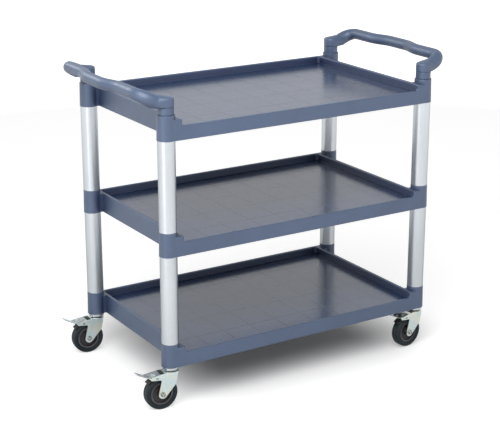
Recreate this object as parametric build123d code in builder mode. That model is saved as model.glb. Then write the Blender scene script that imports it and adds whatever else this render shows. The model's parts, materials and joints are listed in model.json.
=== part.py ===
from build123d import *
from math import cos, radians, sin, tan
import os

# Three-tier serving trolley: three moulded trays on aluminium tubes, two push handles, four braked casters.
# Millimetres and degrees. The origin is on the floor under the middle of the trays, +Z is up, +X runs along
# the length and the low front rims face -Y.

# Layout of the posts
post_spacing_x = 845.0
post_spacing_y = 464.0
tube_diameter = 48.0
tube_wall = 1.6
tube_length = 250.0

# Moulded trays
draft_angle = 1.0
collar_height = 68.0
collar_lip = 0.4
collar_bore = 40.0
collar_edge = 0.8
wall_setback = 0.8
end_setback = 23.5
rim_height = 56.0
rim_width = 10.0
rim_round = 3.0
front_rim_height = 39.0
lip_width = 7.0
ear_step = 1.0
ear_round = 5.0
deck_height = 34.0
deck_thickness = 3.2
skirt_wall = 3.2
inside_corner = 9.0
deck_round = 4.0
lip_round = 2.5
web_reach = 21.0
rib_thickness = 2.4
rib_recess = 9.0
rib_pitch_x = 87.0
rib_pitch_y = 113.0
rib_count_x = 8
rib_count_y = 4

# Plugs and sockets inside the collars
plug_clearance = 0.1
plug_end_gap = 4.0
plug_in_tube = 32.0
plug_wall = 4.0

# Push handles
neck_diameter = 42.5
neck_height = 19.0
cap_diameter = 44.0
cap_round = 5.0
cap_crown = 4.0
bar_diameter = 30.0
bar_height = 58.0
bar_reach = 72.5
bar_bow = 16.5
bow_length = 115.0
elbow_radius = 38.0
arm_blend = 5.0
arm_tilt = 34.0
arm_bend = 30.0
arm_inset = 5.0

# Caster wheels
wheel_diameter = 94.0
tyre_width = 28.0
tyre_depth = 14.0
tyre_shoulder = 4.5
tyre_side = 8.0
tyre_taper = 2.0
bond_line = 0.05
wheel_rim_width = 22.0
wheel_rim_depth = 4.5
wheel_web = 7.0
hub_diameter = 23.0
hub_side_gap = 0.5
sleeve_diameter = 12.0
running_clearance = 0.05

# Axle bolts and nuts
axle_diameter = 8.0
hexagon_width = 13.0
bolt_head_height = 4.5
nut_height = 4.5
bolt_end = 1.2

# Pressed steel forks
trail = 32.0
fork_sheet = 2.5
fork_bend = 5.0
wheel_side_gap = 2.0
crown_gap = 11.5
crown_radius = 21.5
crown_back = 24.0
boss_radius = 12.5
leg_front = 15.0
leg_shoulder = 8.0
leg_shoulder_drop = 36.0
leg_round = 12.0
throat_back = 34.5
throat_drop = 18.0
throat_round = 4.0
arm_reach = 72.0
arm_tip = 8.0
arm_tip_slope = 7.0
arm_top_drop = 6.5

# Swivel bearings
ball_diameter = 5.0
ball_circle_diameter = 26.0
ball_count = 9
ball_gap = 0.3
cup_diameter = 37.0
cup_shoulder_diameter = 47.0
cup_flange_diameter = 50.0
cup_flange_height = 2.0
cup_skirt = 2.0
cup_rim_gap = 2.5
cup_web = 7.6
cup_round = 1.2
stem_diameter = 11.0
stem_end_gap = 2.0
kingpin_diameter = 12.0
kingpin_head_diameter = 18.0
kingpin_head_height = 3.0
end_play = 0.3

# Brakes
brake_angle = 7.0
brake_pin_diameter = 5.0
brake_pin_back = 48.0
brake_pin_drop = 11.0
pin_head_diameter = 7.5
pin_head_height = 1.0
pedal_sheet = 2.0
pedal_side_gap = 0.8
pedal_front = 36.0
pedal_back = 76.0
pedal_drop = 3.0
pedal_tilt = 4.0
pedal_ear_radius = 6.0
pedal_ear_length = 22.0
toe_reach = 27.0
toe_width = 20.0
toe_clearance = 2.5
toe_bend = 4.0
pad_length = 20.0
pad_width = 16.0
pad_height = 0.8
sight_hole_diameter = 7.0
sight_hole_inset = 7.0
shoe_width = 22.0
shoe_thickness = 3.5
shoe_start_angle = 22.0
shoe_end_angle = 40.0
shoe_neck = 10.0
shoe_neck_gap = 1.5
shoe_gap = 0.3

# Where each caster stands, and how far it is swivelled
caster_places = {
    "front_left": (-1, -1, -4.0),
    "rear_left": (-1, 1, -4.0),
    "front_right": (1, -1, 6.0),
    "rear_right": (1, 1, -6.0),
}

# Heights that follow from the casters and the posts
axle_height = wheel_diameter / 2
crown_under = wheel_diameter + crown_gap
crown_top = crown_under + fork_sheet
cup_under = crown_top + running_clearance + ball_diameter + ball_gap
collar_base = cup_under + cup_web
tray_pitch = collar_height + tube_length
tray_bases = {
    "bottom": collar_base,
    "middle": collar_base + tray_pitch,
    "top": collar_base + 2 * tray_pitch,
}
handle_base = tray_bases["top"] + collar_height

# Places that follow from the layout
post_x = post_spacing_x / 2
post_y = post_spacing_y / 2
tube_radius = tube_diameter / 2
collar_top_radius = tube_radius + collar_lip
collar_radius = collar_top_radius + collar_height * tan(radians(draft_angle))
face_x = post_x - end_setback
face_y = post_y + collar_radius - wall_setback
rim_lean = rim_height * tan(radians(draft_angle))
inside_lean = (rim_height - deck_height) * tan(radians(draft_angle))
inside_x = face_x - rim_lean - rim_width - inside_lean
inside_back = face_y - rim_lean - rim_width - inside_lean
inside_front = lip_width - face_y
plug_radius = collar_bore / 2 - plug_clearance
plug_depth = collar_height / 2 - plug_end_gap
fork_inner = tyre_width / 2 + wheel_side_gap
fork_outer = fork_inner + fork_sheet


def post_axes():
    """The four post axes, the same on every tray."""
    return GridLocations(post_spacing_x, post_spacing_y, 2, 2)


def save(piece, name):
    """Labels one finished piece and writes it."""
    piece.label = name
    export_step(piece, f"parts/{name}.step")


os.makedirs("parts", exist_ok=True)

# Collar of a tray, with its underside at z = 0
with BuildPart() as collar:
    Cone(collar_radius, collar_top_radius, collar_height, align=(Align.CENTER, Align.CENTER, Align.MIN))
    chamfer(edges().group_by(Axis.Z)[-1], collar_edge)

# Moulded tray, with the underside of its collars at z = 0
web_inner = face_x - skirt_wall
with BuildPart() as tray:
    # Walls, with a web that reaches to each collar
    with BuildSketch():
        Rectangle(2 * face_x, 2 * face_y)
        with GridLocations(post_x + web_inner, face_y + post_y - web_reach, 2, 2):
            Rectangle(post_x - web_inner, face_y - post_y + web_reach)
    extrude(amount=rim_height, taper=draft_angle)
    # Inside of the tray, down to the deck
    with BuildSketch(Plane.XY.offset(deck_height)):
        with Locations((0, (inside_back + inside_front) / 2)):
            RectangleRounded(2 * inside_x, inside_back - inside_front, inside_corner)
    extrude(amount=rim_height, taper=-draft_angle, mode=Mode.SUBTRACT)
    fillet(edges(Select.LAST).group_by(Axis.Z)[0], deck_round)
    # Low front, between the ends of the two side walls
    with BuildSketch(Plane.XZ.offset(face_y)):
        with Locations((0, front_rim_height)):
            Rectangle(2 * (inside_x - ear_step), rim_height, align=(Align.CENTER, Align.MIN))
        fillet(vertices().group_by(Axis.Y)[0], ear_round)
    extrude(amount=-lip_width - inside_corner, mode=Mode.SUBTRACT)
    # Rounded rims
    fillet(edges().filter_by_position(Axis.Z, rim_height - rim_round, rim_height + rim_round), rim_round)
    lip_edges = edges().filter_by(Axis.X).filter_by_position(Axis.Z, deck_height, rim_height - rim_round)
    fillet(lip_edges.sort_by(Axis.Y)[0], lip_round)
    # Hollow underside and its ribs
    with BuildSketch():
        Rectangle(2 * (face_x - skirt_wall), 2 * (face_y - skirt_wall))
    extrude(amount=deck_height - deck_thickness, taper=draft_angle, mode=Mode.SUBTRACT)
    with BuildSketch(Plane.XY.offset(rib_recess)):
        with GridLocations(rib_pitch_x, 0, rib_count_x, 1):
            Rectangle(rib_thickness, 2 * face_y - skirt_wall)
        with GridLocations(0, rib_pitch_y, 1, rib_count_y):
            Rectangle(2 * face_x - skirt_wall, rib_thickness)
    extrude(amount=deck_height - deck_thickness / 2 - rib_recess)
    # Collars and their bores
    with post_axes():
        add(collar.part)
    with Locations((0, 0, collar_height)):
        with post_axes():
            Hole(collar_bore / 2, depth=collar_height)
for level, base in tray_bases.items():
    save(tray.part.moved(Location((0, 0, base))), f"{level}_tray")

# Aluminium tube, one between each pair of collars
with BuildPart() as tube:
    with BuildSketch():
        Circle(tube_radius)
        Circle(tube_radius - tube_wall, mode=Mode.SUBTRACT)
    extrude(amount=tube_length)
for corner, (side_x, side_y, yaw) in caster_places.items():
    for storey, tray_below in {"lower": "bottom", "upper": "middle"}.items():
        foot = tray_bases[tray_below] + collar_height
        save(tube.part.moved(Location((side_x * post_x, side_y * post_y, foot))), f"{storey}_tube_{corner}")

# Plug that joins a collar, below z = 0, to the tube that stands on it
with BuildPart() as plug:
    with BuildSketch():
        Circle(plug_radius)
    extrude(amount=-plug_depth)
    with BuildSketch():
        Circle(tube_radius - tube_wall - plug_clearance)
    extrude(amount=plug_in_tube)
    with Locations((0, 0, plug_in_tube)):
        Hole(plug_radius - plug_wall, depth=plug_in_tube + plug_depth)

# All sixteen plugs: standing in the collars under the tubes, and upside down over them
with BuildPart() as tube_plugs:
    for level in ("bottom", "middle"):
        with Locations((0, 0, tray_bases[level] + collar_height)):
            with post_axes():
                add(plug.part)
    for level in ("middle", "top"):
        with Locations((0, 0, tray_bases[level])):
            with post_axes():
                add(plug.part, rotation=(180, 0, 0))
save(tube_plugs.part, "tube_plugs")

# Sockets for the caster stems, in the bottom collars
with BuildPart() as stem_sockets:
    with BuildSketch(Plane.XY.offset(collar_base)):
        with post_axes():
            Circle(plug_radius)
            Circle(stem_diameter / 2 + running_clearance, mode=Mode.SUBTRACT)
    extrude(amount=plug_depth)
save(stem_sockets.part, "stem_sockets")

# Push handle on the +X end: a bar with a bow between its two grips, and two posts
bar_x = post_x + bar_reach
arm_y = post_y - arm_inset
bar_z = handle_base + bar_height
tilt = radians(arm_tilt)
bar_rise = elbow_radius * sin(tilt) + arm_bend * tan(tilt / 2)
cap_top = bar_height - bar_rise + bar_diameter / 2 + cap_crown
with BuildPart() as handle:
    with BuildLine():
        bow = TangentArc(
            (bar_x + bar_bow, 0, bar_z),
            (bar_x + bar_bow / 2, bow_length / 2, bar_z),
            tangent=(0, 1, 0),
        )
        grip = TangentArc(bow @ 1, (bar_x, bow_length, bar_z), tangent=bow % 1)
        straight = Line(grip @ 1, (bar_x, arm_y - elbow_radius, bar_z))
        elbow = TangentArc(
            straight @ 1,
            (bar_x - elbow_radius * cos(tilt), arm_y, bar_z - elbow_radius * sin(tilt)),
            tangent=(0, 1, 0),
        )
        arm = TangentArc(
            elbow @ 1,
            (bar_x - elbow_radius * cos(tilt) - arm_bend, arm_y, bar_z - bar_rise),
            tangent=elbow % 1,
        )
        Line(arm @ 1, (post_x, arm_y, bar_z - bar_rise))
    with BuildSketch(Plane(origin=bow @ 0, z_dir=(0, 1, 0))):
        Circle(bar_diameter / 2)
    sweep()
    with BuildSketch(Plane(origin=(post_x, post_y, handle_base), z_dir=(0, -1, 0), x_dir=(1, 0, 0))):
        with BuildLine():
            Polyline(
                (0, -plug_depth),
                (plug_radius, -plug_depth),
                (plug_radius, 0),
                (neck_diameter / 2, 0),
                (neck_diameter / 2, neck_height),
                (cap_diameter / 2, neck_height + (cap_diameter - neck_diameter) / 2),
                (cap_diameter / 2, cap_top),
                (0, cap_top),
                close=True,
            )
        make_face()
        fillet(vertices().group_by(Axis.Y)[-1].sort_by(Axis.X)[-1], cap_round)
    revolve(axis=Axis((post_x, post_y, 0), (0, 0, 1)))
    fillet(edges(Select.NEW).filter_by_position(Axis.Z, handle_base + neck_height, bar_z), arm_blend)
    mirror(about=Plane.XZ)
save(handle.part, "right_handle")
save(mirror(handle.part, about=Plane.YZ), "left_handle")

# Caster pieces are made with the stem on the Z axis, the floor at z = 0 and the wheel trailing towards -X
axle_centre = (-trail, 0, axle_height)
axle_line = Axis(axle_centre, (0, 1, 0))
wheel_section = Plane(origin=axle_centre, x_dir=(0, 1, 0), z_dir=(1, 0, 0))
axle_section = Plane(origin=axle_centre, x_dir=(1, 0, 0), z_dir=(0, 1, 0))
wheel_rim_radius = wheel_diameter / 2 - tyre_depth
hub_half = fork_inner - hub_side_gap

with BuildPart() as tyre:
    with BuildSketch(wheel_section):
        with BuildLine():
            Polyline(
                (tyre_taper - tyre_width / 2, wheel_rim_radius + bond_line),
                (-tyre_width / 2, wheel_diameter / 2 - tyre_side),
                (-tyre_width / 2, wheel_diameter / 2),
                (tyre_width / 2, wheel_diameter / 2),
                (tyre_width / 2, wheel_diameter / 2 - tyre_side),
                (tyre_width / 2 - tyre_taper, wheel_rim_radius + bond_line),
                close=True,
            )
        make_face()
        fillet(vertices().group_by(Axis.Y)[-1], tyre_shoulder)
    revolve(axis=axle_line)

with BuildPart() as wheel_centre:
    with BuildSketch(wheel_section):
        with Locations((0, sleeve_diameter / 2 + running_clearance)):
            Rectangle(2 * hub_half, hub_diameter / 2 - sleeve_diameter / 2, align=(Align.CENTER, Align.MIN))
            Rectangle(
                wheel_web,
                wheel_rim_radius - sleeve_diameter / 2 - running_clearance,
                align=(Align.CENTER, Align.MIN),
            )
        with Locations((0, wheel_rim_radius)):
            Rectangle(wheel_rim_width, wheel_rim_depth, align=(Align.CENTER, Align.MAX))
    revolve(axis=axle_line)

with BuildPart() as axle_sleeve:
    with BuildSketch(axle_section):
        Circle(sleeve_diameter / 2)
        Circle(axle_diameter / 2 + running_clearance, mode=Mode.SUBTRACT)
    extrude(amount=fork_inner, both=True)

with BuildPart() as axle_bolt:
    with BuildSketch(axle_section.offset(fork_outer)):
        RegularPolygon(hexagon_width / 2, 6, major_radius=False)
    extrude(amount=bolt_head_height)
    with BuildSketch(axle_section.offset(fork_outer)):
        Circle(axle_diameter / 2)
    extrude(amount=-2 * fork_outer - nut_height - bolt_end)

with BuildPart() as axle_nut:
    with BuildSketch(axle_section.offset(-fork_outer)):
        RegularPolygon(hexagon_width / 2, 6, major_radius=False)
        Circle(axle_diameter / 2 + running_clearance, mode=Mode.SUBTRACT)
    extrude(amount=-nut_height)

# Fork: a folded channel cut to the outline of its legs and brake arms
arm_top = crown_top - arm_top_drop
brake_pin_height = crown_top - brake_pin_drop
with BuildPart() as fork:
    with BuildSketch(Plane.YZ.offset(-arm_reach)):
        with Locations((0, crown_top)):
            Rectangle(2 * fork_outer, crown_top, align=(Align.CENTER, Align.MAX))
        fillet(vertices().group_by(Axis.Y)[-1], fork_bend)
        with BuildSketch(mode=Mode.SUBTRACT):
            with Locations((0, crown_under)):
                Rectangle(2 * fork_inner, crown_under, align=(Align.CENTER, Align.MAX))
            fillet(vertices().group_by(Axis.Y)[-1], fork_bend - fork_sheet)
    extrude(amount=arm_reach + crown_radius)
    with BuildSketch(Plane.XZ):
        with Locations((-trail, axle_height)):
            Circle(boss_radius)
        with BuildLine():
            Line((leg_shoulder, crown_top - leg_shoulder_drop), (-throat_back, crown_top - throat_drop))
        make_hull()
        with BuildLine():
            Polyline(
                (leg_front, crown_top),
                (leg_shoulder, crown_top - leg_shoulder_drop),
                (-throat_back, crown_top - throat_drop),
                (arm_tip_slope - arm_reach, arm_top - arm_tip),
                (-arm_reach, arm_top),
                (-crown_back, crown_top),
                close=True,
            )
        make_face()
        fillet(vertices().sort_by_distance((leg_shoulder, crown_top - leg_shoulder_drop))[0], leg_round)
        fillet(vertices().sort_by_distance((-throat_back, crown_top - throat_drop))[0], throat_round)
    extrude(amount=fork_outer, both=True, mode=Mode.INTERSECT)
    # The crown ends behind the bearing, where the brake pedal lies between the arms
    with BuildSketch(Plane.XY.offset(crown_top)):
        with Locations((-crown_back, 0)):
            Rectangle(arm_reach, 2 * fork_inner, align=(Align.MAX, Align.CENTER))
    extrude(amount=-fork_bend, mode=Mode.SUBTRACT)
    with BuildSketch(Plane.XY.offset(crown_under)):
        Circle(crown_radius)
    extrude(amount=fork_sheet)
    with Locations((0, 0, crown_top)):
        Hole(kingpin_diameter / 2 + running_clearance, depth=fork_sheet)
    with BuildSketch(Plane.XZ):
        with Locations((-trail, axle_height)):
            Circle(axle_diameter / 2 + running_clearance)
        with Locations((-brake_pin_back, brake_pin_height)):
            Circle(brake_pin_diameter / 2 + running_clearance)
    extrude(amount=fork_outer, both=True, mode=Mode.SUBTRACT)

# Stem, bearing cup and riveted kingpin, fixed to the trolley
with BuildPart() as stem:
    with BuildSketch(Plane.XZ):
        with BuildLine():
            cup_outline = Polyline(
                (cup_shoulder_diameter / 2, collar_base - cup_flange_height),
                (cup_flange_diameter / 2, collar_base - cup_flange_height),
                (cup_flange_diameter / 2, collar_base),
                (stem_diameter / 2, collar_base),
                (stem_diameter / 2, collar_base + plug_depth - stem_end_gap),
                (0, collar_base + plug_depth - stem_end_gap),
                (0, crown_under - end_play - kingpin_head_height),
                (kingpin_head_diameter / 2, crown_under - end_play - kingpin_head_height),
                (kingpin_head_diameter / 2, crown_under - end_play),
                (kingpin_diameter / 2, crown_under - end_play),
                (kingpin_diameter / 2, cup_under),
                (cup_diameter / 2 - cup_skirt, cup_under),
                (cup_diameter / 2 - cup_skirt, crown_top + cup_rim_gap),
                (cup_diameter / 2, crown_top + cup_rim_gap),
            )
            TangentArc(cup_outline @ 0, cup_outline @ 1, tangent=(0, -1))
        make_face()
        fillet(vertices().sort_by_distance((cup_flange_diameter / 2, collar_base - cup_flange_height))[0], cup_round)
    revolve(axis=Axis.Z)

with BuildPart() as bearing_balls:
    with Locations((0, 0, crown_top + running_clearance + ball_diameter / 2)):
        with PolarLocations(ball_circle_diameter / 2, ball_count):
            Sphere(ball_diameter / 2)

# Brake: a pedal that tilts on a pin between the fork's arms, and a shoe under it, both made with the pedal level
brake_pin_line = Axis((-brake_pin_back, 0, brake_pin_height), (0, -1, 0))
toe_end = pedal_back + toe_reach
toe_lift = (toe_end - brake_pin_back) * sin(radians(pedal_tilt))
pedal_half = fork_inner - pedal_side_gap
pedal_under = crown_top - pedal_drop - pedal_sheet
pedal_mid = pedal_under + pedal_sheet / 2
with BuildPart() as brake_pedal:
    with BuildSketch(Plane.XZ):
        with Locations((-brake_pin_back, brake_pin_height)):
            Circle(pedal_ear_radius)
        with BuildLine():
            Line(
                (-brake_pin_back - pedal_ear_length / 2, pedal_mid),
                (-brake_pin_back + pedal_ear_length / 2, pedal_mid),
            )
        make_hull()
    extrude(amount=pedal_half, both=True)
    with BuildSketch(Plane.XZ):
        with Locations((-brake_pin_back, pedal_under)):
            Rectangle(2 * pedal_ear_length, 2 * brake_pin_drop, align=(Align.CENTER, Align.MAX))
    extrude(amount=pedal_half - pedal_sheet, both=True, mode=Mode.SUBTRACT)
    with BuildSketch(Plane.XZ):
        with BuildLine():
            FilletPolyline(
                (-pedal_front, pedal_mid),
                (-pedal_back, pedal_mid),
                (-toe_end, collar_base - toe_clearance - pedal_sheet + toe_lift),
                radius=toe_bend,
            )
        trace(line_width=pedal_sheet)
    extrude(amount=pedal_half, both=True)
    with BuildSketch(Plane.XY.offset(pedal_under)):
        with Locations((-pedal_back, 0)):
            Rectangle(2 * toe_reach, 2 * pedal_half, align=(Align.MAX, Align.CENTER))
            Rectangle(2 * toe_reach, toe_width, align=(Align.MAX, Align.CENTER), mode=Mode.SUBTRACT)
    extrude(amount=toe_reach, mode=Mode.SUBTRACT)
    with BuildSketch(Plane.XY.offset(pedal_under + pedal_sheet)):
        with Locations((-brake_pin_back, 0)):
            SlotOverall(pad_length, pad_width)
    extrude(amount=pad_height)
    with Locations((sight_hole_inset - pedal_back, 0, pedal_under + pedal_sheet)):
        Hole(sight_hole_diameter / 2, depth=pedal_sheet)
    with BuildSketch(Plane.XZ):
        with Locations((-brake_pin_back, brake_pin_height)):
            Circle(brake_pin_diameter / 2 + running_clearance)
    extrude(amount=pedal_half, both=True, mode=Mode.SUBTRACT)

# The shoe's hollow fits round the tyre once the pedal is down
pin_to_axle_x = brake_pin_back - trail
pin_to_axle_z = axle_height - brake_pin_height
brake_turn = radians(pedal_tilt + brake_angle)
shoe_centre = (
    -brake_pin_back + pin_to_axle_x * cos(brake_turn) + pin_to_axle_z * sin(brake_turn),
    brake_pin_height - pin_to_axle_x * sin(brake_turn) + pin_to_axle_z * cos(brake_turn),
)
shoe_inner = wheel_diameter / 2 + shoe_gap
with BuildPart() as brake_shoe:
    with BuildSketch(Plane.XZ):
        with Locations(shoe_centre):
            Circle(shoe_inner + shoe_thickness)
        with BuildLine():
            near_end = PolarLine(shoe_centre, 2 * shoe_inner, 90 + shoe_start_angle)
            far_end = PolarLine(shoe_centre, 2 * shoe_inner, 90 + shoe_end_angle)
            Line(near_end @ 1, far_end @ 1)
        make_face(mode=Mode.INTERSECT)
        with Locations((-brake_pin_back - brake_pin_diameter / 2 - shoe_neck_gap, pedal_under)):
            Rectangle(shoe_neck, pedal_under - axle_height, align=(Align.MAX, Align.MAX))
        with Locations(shoe_centre):
            Circle(shoe_inner, mode=Mode.SUBTRACT)
    extrude(amount=shoe_width / 2, both=True)

with BuildPart() as brake_pin:
    with BuildSketch(Plane.XZ):
        with Locations((-brake_pin_back, brake_pin_height)):
            Circle(brake_pin_diameter / 2)
    extrude(amount=fork_outer, both=True)
    for side in (-1, 1):
        with BuildSketch(Plane.XZ.offset(side * fork_outer)):
            with Locations((-brake_pin_back, brake_pin_height)):
                Circle(pin_head_diameter / 2)
        extrude(amount=side * pin_head_height)

caster_pieces = {
    "stem": stem.part,
    "bearing_balls": bearing_balls.part,
    "fork": fork.part,
    "tyre": tyre.part,
    "wheel_centre": wheel_centre.part,
    "axle_sleeve": axle_sleeve.part,
    "axle_bolt": axle_bolt.part,
    "axle_nut": axle_nut.part,
    "brake_pedal": brake_pedal.part.rotate(brake_pin_line, pedal_tilt),
    "brake_shoe": brake_shoe.part.rotate(brake_pin_line, pedal_tilt),
    "brake_pin": brake_pin.part,
}
for corner, (side_x, side_y, yaw) in caster_places.items():
    place = Location((side_x * post_x, side_y * post_y, 0), (0, 0, yaw))
    for piece_name, piece in caster_pieces.items():
        save(piece.moved(place), f"{corner}_{piece_name}")
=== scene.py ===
import json
import math

import bmesh
import bpy
from bpy.props import FloatProperty, FloatVectorProperty, PointerProperty
from mathutils import Matrix, Vector


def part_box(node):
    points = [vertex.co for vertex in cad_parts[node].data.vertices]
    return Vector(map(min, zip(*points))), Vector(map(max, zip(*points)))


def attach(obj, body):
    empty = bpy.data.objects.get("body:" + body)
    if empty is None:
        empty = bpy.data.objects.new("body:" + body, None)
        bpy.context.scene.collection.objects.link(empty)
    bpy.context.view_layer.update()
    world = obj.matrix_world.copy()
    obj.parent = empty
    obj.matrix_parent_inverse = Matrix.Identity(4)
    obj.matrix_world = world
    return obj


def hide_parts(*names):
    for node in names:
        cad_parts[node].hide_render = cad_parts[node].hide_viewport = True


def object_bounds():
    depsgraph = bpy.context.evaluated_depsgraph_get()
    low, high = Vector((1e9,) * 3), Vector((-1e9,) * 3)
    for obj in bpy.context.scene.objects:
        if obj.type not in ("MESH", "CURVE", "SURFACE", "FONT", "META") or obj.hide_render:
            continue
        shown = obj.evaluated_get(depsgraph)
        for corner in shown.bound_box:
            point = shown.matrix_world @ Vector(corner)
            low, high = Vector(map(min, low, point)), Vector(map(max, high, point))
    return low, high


bl_info = {
    "name": "Serving Trolley Finish",
    "version": (1, 0, 0),
    "blender": (4, 5, 0),
    "location": "View3D > Sidebar > Trolley",
    "description": "Finishes the pieces of a three-tier serving trolley and sets a plain studio round it",
    "category": "Object",
}

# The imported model, and the places that the finishes take from it
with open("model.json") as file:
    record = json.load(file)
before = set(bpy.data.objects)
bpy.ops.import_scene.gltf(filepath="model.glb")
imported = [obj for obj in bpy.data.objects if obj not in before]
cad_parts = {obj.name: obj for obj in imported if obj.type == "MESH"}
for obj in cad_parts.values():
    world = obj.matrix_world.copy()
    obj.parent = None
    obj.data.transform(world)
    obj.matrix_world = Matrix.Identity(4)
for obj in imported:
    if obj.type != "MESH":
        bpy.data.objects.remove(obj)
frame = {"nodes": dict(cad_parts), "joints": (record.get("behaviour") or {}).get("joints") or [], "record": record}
CAD_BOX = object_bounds()
CORNERS = ("front_left", "rear_left", "front_right", "rear_right")
LEVELS = ("bottom", "middle", "top")
JOINTS = {joint["name"]: joint for joint in frame["joints"]}
MOUNTS = {mount["name"]: mount for mount in frame["record"]["mounts"]}
TRAY_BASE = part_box("bottom_tray")[0].z
TRAY_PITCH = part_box("middle_tray")[0].z - TRAY_BASE
DECK_LEVEL = MOUNTS["bottom_deck"]["pos_m"][2] - TRAY_BASE
WHEEL_RADIUS = JOINTS["front_left_wheel_roll"]["pos_m"][2]
POST = sum(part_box("upper_tube_rear_right"), Vector()) / 2
HANDLE_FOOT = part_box("top_tray")[1].z

# Places and sizes of the lamps and the floor, in metres
KEY_PLACE, KEY_SIZE = (-1.2, -1.25, 2.4), (2.0, 2.0)
STRIP_PLACE, STRIP_SIZE = (-1.6, -0.75, 0.9), (0.55, 1.7)
BACK_PLACE, BACK_SIZE = (-1.14, 1.78, 1.93), (1.2, 0.7)
FLOOR_SIZE = 60.0

# Levels between which most noise lies
NOISE_LOW, NOISE_HIGH = 0.3, 0.7

# Width of the camera's sensor, in millimetres
SENSOR_WIDTH = 36.0

# Facets of the round pieces, and the angle from which an edge stays sharp
TYRE_FACETS = 128
WHEEL_FACETS = 96
BOLT_FACETS = 48
PIN_FACETS = 32
BAR_FACETS = 32
HEAD_FACETS = 48
NECK_FACETS = 64
BOW_STEPS = 24
ELBOW_STEPS = 16
CRISP_ANGLE = math.radians(35.0)

# Radius of the round flat on a bolt head or nut, as a share of its width
HEXAGON_FLAT = 0.475


# Colours and sizes that a user may change


def colour(name, description, default):
    """A colour property with three channels."""
    return FloatVectorProperty(
        name=name, description=description, default=default, size=3, min=0.0, max=1.0, subtype="COLOR"
    )


def length(name, description, default):
    """A length property in metres."""
    return FloatProperty(
        name=name,
        description=description,
        default=default,
        min=0.0,
        precision=5,
        subtype="DISTANCE",
        unit="LENGTH",
    )


def share(name, description, default):
    """A property between nothing and all."""
    return FloatProperty(
        name=name, description=description, default=default, min=0.0, max=1.0, subtype="FACTOR"
    )


def angle(name, description, degrees):
    """An angle property, given in degrees."""
    return FloatProperty(name=name, description=description, default=math.radians(degrees), subtype="ANGLE")


def power(name, description, default):
    """A lamp's power in watts."""
    return FloatProperty(name=name, description=description, default=default, min=0.0, subtype="POWER")


def floor_pair(name, description, default):
    """Two lengths on the floor, along and across the trolley."""
    return FloatVectorProperty(name=name, description=description, default=default, size=2, unit="LENGTH")


class TrolleyColours(bpy.types.PropertyGroup):
    """Colours of the finishes."""

    tray: colour("Trays", "Slate blue of the moulded trays and handles", (0.068, 0.106, 0.194))
    deck: colour("Decks", "Darker skin of the flat decks", (0.029, 0.053, 0.122))
    # Painted shade: the deep navy that shut-in corners and inner walls are mixed towards
    shaded_hollow: colour("Hollows", "Deep navy in corners that little light reaches", (0.009, 0.018, 0.065))
    plastic_sheen: colour("Plastic sheen", "Tint of the light that the plastic mirrors", (0.92, 0.955, 1.0))
    scuff: colour("Scuffs", "Paler plastic on rubbed edges", (0.19, 0.27, 0.38))
    tube: colour("Tubes", "Drawn aluminium of the posts", (0.60, 0.635, 0.665))
    tube_edge: colour("Tube edges", "Greyer tint of the aluminium at a low angle", (0.55, 0.58, 0.60))
    zinc: colour("Forks", "Bluish zinc plating of the pressed forks", (0.68, 0.80, 0.81))
    zinc_tint: colour("Fork tint", "Yellower clouds in the zinc plating", (0.80, 0.82, 0.72))
    chrome: colour("Bearing cups", "Bright plating of the bearing cups", (0.68, 0.69, 0.71))
    steel: colour("Pedals", "Plated pedals and balls", (0.44, 0.46, 0.48))
    bolt: colour("Bolts", "Darker plated bolts, nuts and pins", (0.17, 0.18, 0.19))
    tyre: colour("Tyres", "Black rubber of the tyres", (0.008, 0.016, 0.021))
    tyre_dust: colour("Tyre dust", "Grey bloom and dust on the rubber", (0.050, 0.058, 0.064))
    wheel: colour("Wheel centres", "Dark plastic of the wheel centres", (0.030, 0.024, 0.028))
    wheel_rim: colour("Wheel rims", "Greyer ring of a wheel centre next to the tyre", (0.110, 0.107, 0.118))
    shoe: colour("Brake shoes", "Black rubber of the brake shoes", (0.012, 0.012, 0.013))
    plug: colour("Plugs", "Black plastic inside the collars", (0.03, 0.03, 0.032))
    floor: colour("Floor", "Pale studio floor", (0.72, 0.72, 0.72))


class TrolleyFinish(bpy.types.PropertyGroup):
    """Gloss and grain of the finishes."""

    deck_roughness: share("Deck roughness", "Roughness of the flat decks", 0.20)
    wall_roughness: share("Wall roughness", "Roughness of the moulded walls", 0.42)
    plastic_gloss: share("Plastic gloss", "Strength of the mirrored light on the plastic", 1.0)
    tube_roughness: share("Tube roughness", "Roughness of the drawn tubes", 0.30)
    tyre_gloss: share("Tyre gloss", "Strength of the mirrored light on the tyres", 0.28)
    # Reach of the ambient occlusion that paints shade into hollows
    hollow_reach: length("Hollow reach", "How near other walls darken a hollow", 0.08)
    grain: length("Grain", "Size of the grain on the moulded walls", 0.0011)
    edge: length("Edge", "Width of the rubbed line along an edge", 0.0016)
    rib_spacing_x: length("Rib spacing along", "Distance between the ribs across a tray", 0.087)
    rib_spacing_y: length("Rib spacing across", "Distance between the ribs along a tray", 0.113)
    rib_line: length("Rib line", "Half the width of the sink line that a rib leaves on the deck", 0.0045)


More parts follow.
